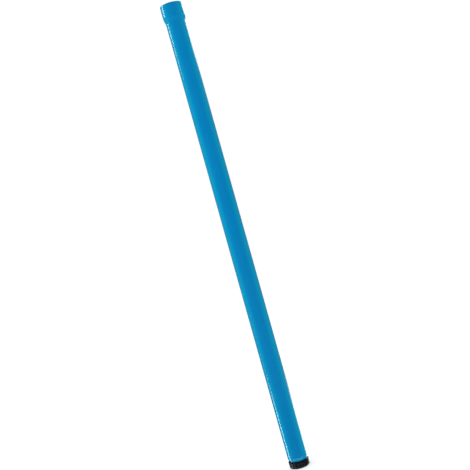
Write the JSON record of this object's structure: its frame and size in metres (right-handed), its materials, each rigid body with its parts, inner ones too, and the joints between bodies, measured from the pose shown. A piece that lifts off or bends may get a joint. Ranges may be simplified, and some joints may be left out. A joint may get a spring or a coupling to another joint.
{
  "type": "boat hook",
  "caption": "Telescopic boat hook pole, collapsed, hook head off: glossy blue tube with a flared mouth and a ribbed black end cap; two twist-locking inner tubes slide out.",
  "frame": {"origin": "middle of the end cap's underside, which the pole stands on", "axes": "+Z along the pole from the end cap to the flared mouth, which the hook head screws into; +X and +Y are across the tube"},
  "size_m": [0.0428, 0.0428, 0.9],
  "materials": {
    "blue_tube": "gloss blue coat",
    "silver_tube": "clear anodised",
    "black_nylon": "moulded, satin",
    "grey_acetal": "moulded",
    "white_acetal": "moulded",
    "rubber": "matte",
    "steel": "stainless",
    "foam": "closed-cell foam"
  },
  "bodies": {
    "cap": {"butt_cap": "black_nylon", "butt_buffer": "rubber"},
    "seal": {"butt_seal": "rubber"},
    "outer": {"outer_tube": "blue_tube", "mouth_bush": "grey_acetal", "mouth_clip": "steel", "butt_insert": "grey_acetal"},
    "middle_expander": {"middle_lock_expander": "black_nylon"},
    "middle_cone": {"middle_lock_cone": "white_acetal"},
    "middle": {"middle_tube": "silver_tube", "middle_collar": "grey_acetal", "middle_lock_plug": "white_acetal", "middle_lock_washer": "steel", "middle_lock_screw": "steel"},
    "inner_expander": {"inner_lock_expander": "black_nylon"},
    "inner_cone": {"inner_lock_cone": "white_acetal"},
    "inner": {"inner_tube": "silver_tube", "tip_insert": "black_nylon", "float_plug": "foam", "inner_lock_plug": "white_acetal", "inner_lock_washer": "steel", "inner_lock_screw": "steel"}
  },
  "joints": [
    {"name": "cap_unscrew", "type": "slide", "parent": "cap", "child": "seal", "axis": [0, 0, 1], "range_m": [0, 0.018]},
    {"name": "cap_turn", "type": "hinge", "parent": "seal", "child": "outer", "pos_m": [0, 0, 0], "axis": [0, 0, 1], "range_deg": [0, 2161]},
    {"name": "middle_slide", "type": "slide", "parent": "outer", "child": "middle_expander", "axis": [0, 0, 1], "range_m": [0, 0.7887]},
    {"name": "middle_twist", "type": "hinge", "parent": "middle_expander", "child": "middle", "pos_m": [0, 0, 0], "axis": [0, 0, -1], "range_deg": [0, 220]},
    {"name": "middle_wedge", "type": "slide", "parent": "middle_expander", "child": "middle_cone", "axis": [0, 0, 1], "range_m": [0, 0.00184]},
    {"name": "inner_slide", "type": "slide", "parent": "middle", "child": "inner_expander", "axis": [0, 0, 1], "range_m": [0, 0.7623]},
    {"name": "inner_twist", "type": "hinge", "parent": "inner_expander", "child": "inner", "pos_m": [0, 0, 0], "axis": [0, 0, -1], "range_deg": [0, 220]},
    {"name": "inner_wedge", "type": "slide", "parent": "inner_expander", "child": "inner_cone", "axis": [0, 0, 1], "range_m": [0, 0.00184]}
  ],
  "couplings": [
    {"joint": "cap_turn", "follows": "cap_unscrew", "rad_per_m": 2094.4},
    {"joint": "middle_wedge", "follows": "middle_twist", "m_per_rad": 0.00047746},
    {"joint": "inner_wedge", "follows": "inner_twist", "m_per_rad": 0.00047746}
  ]
}
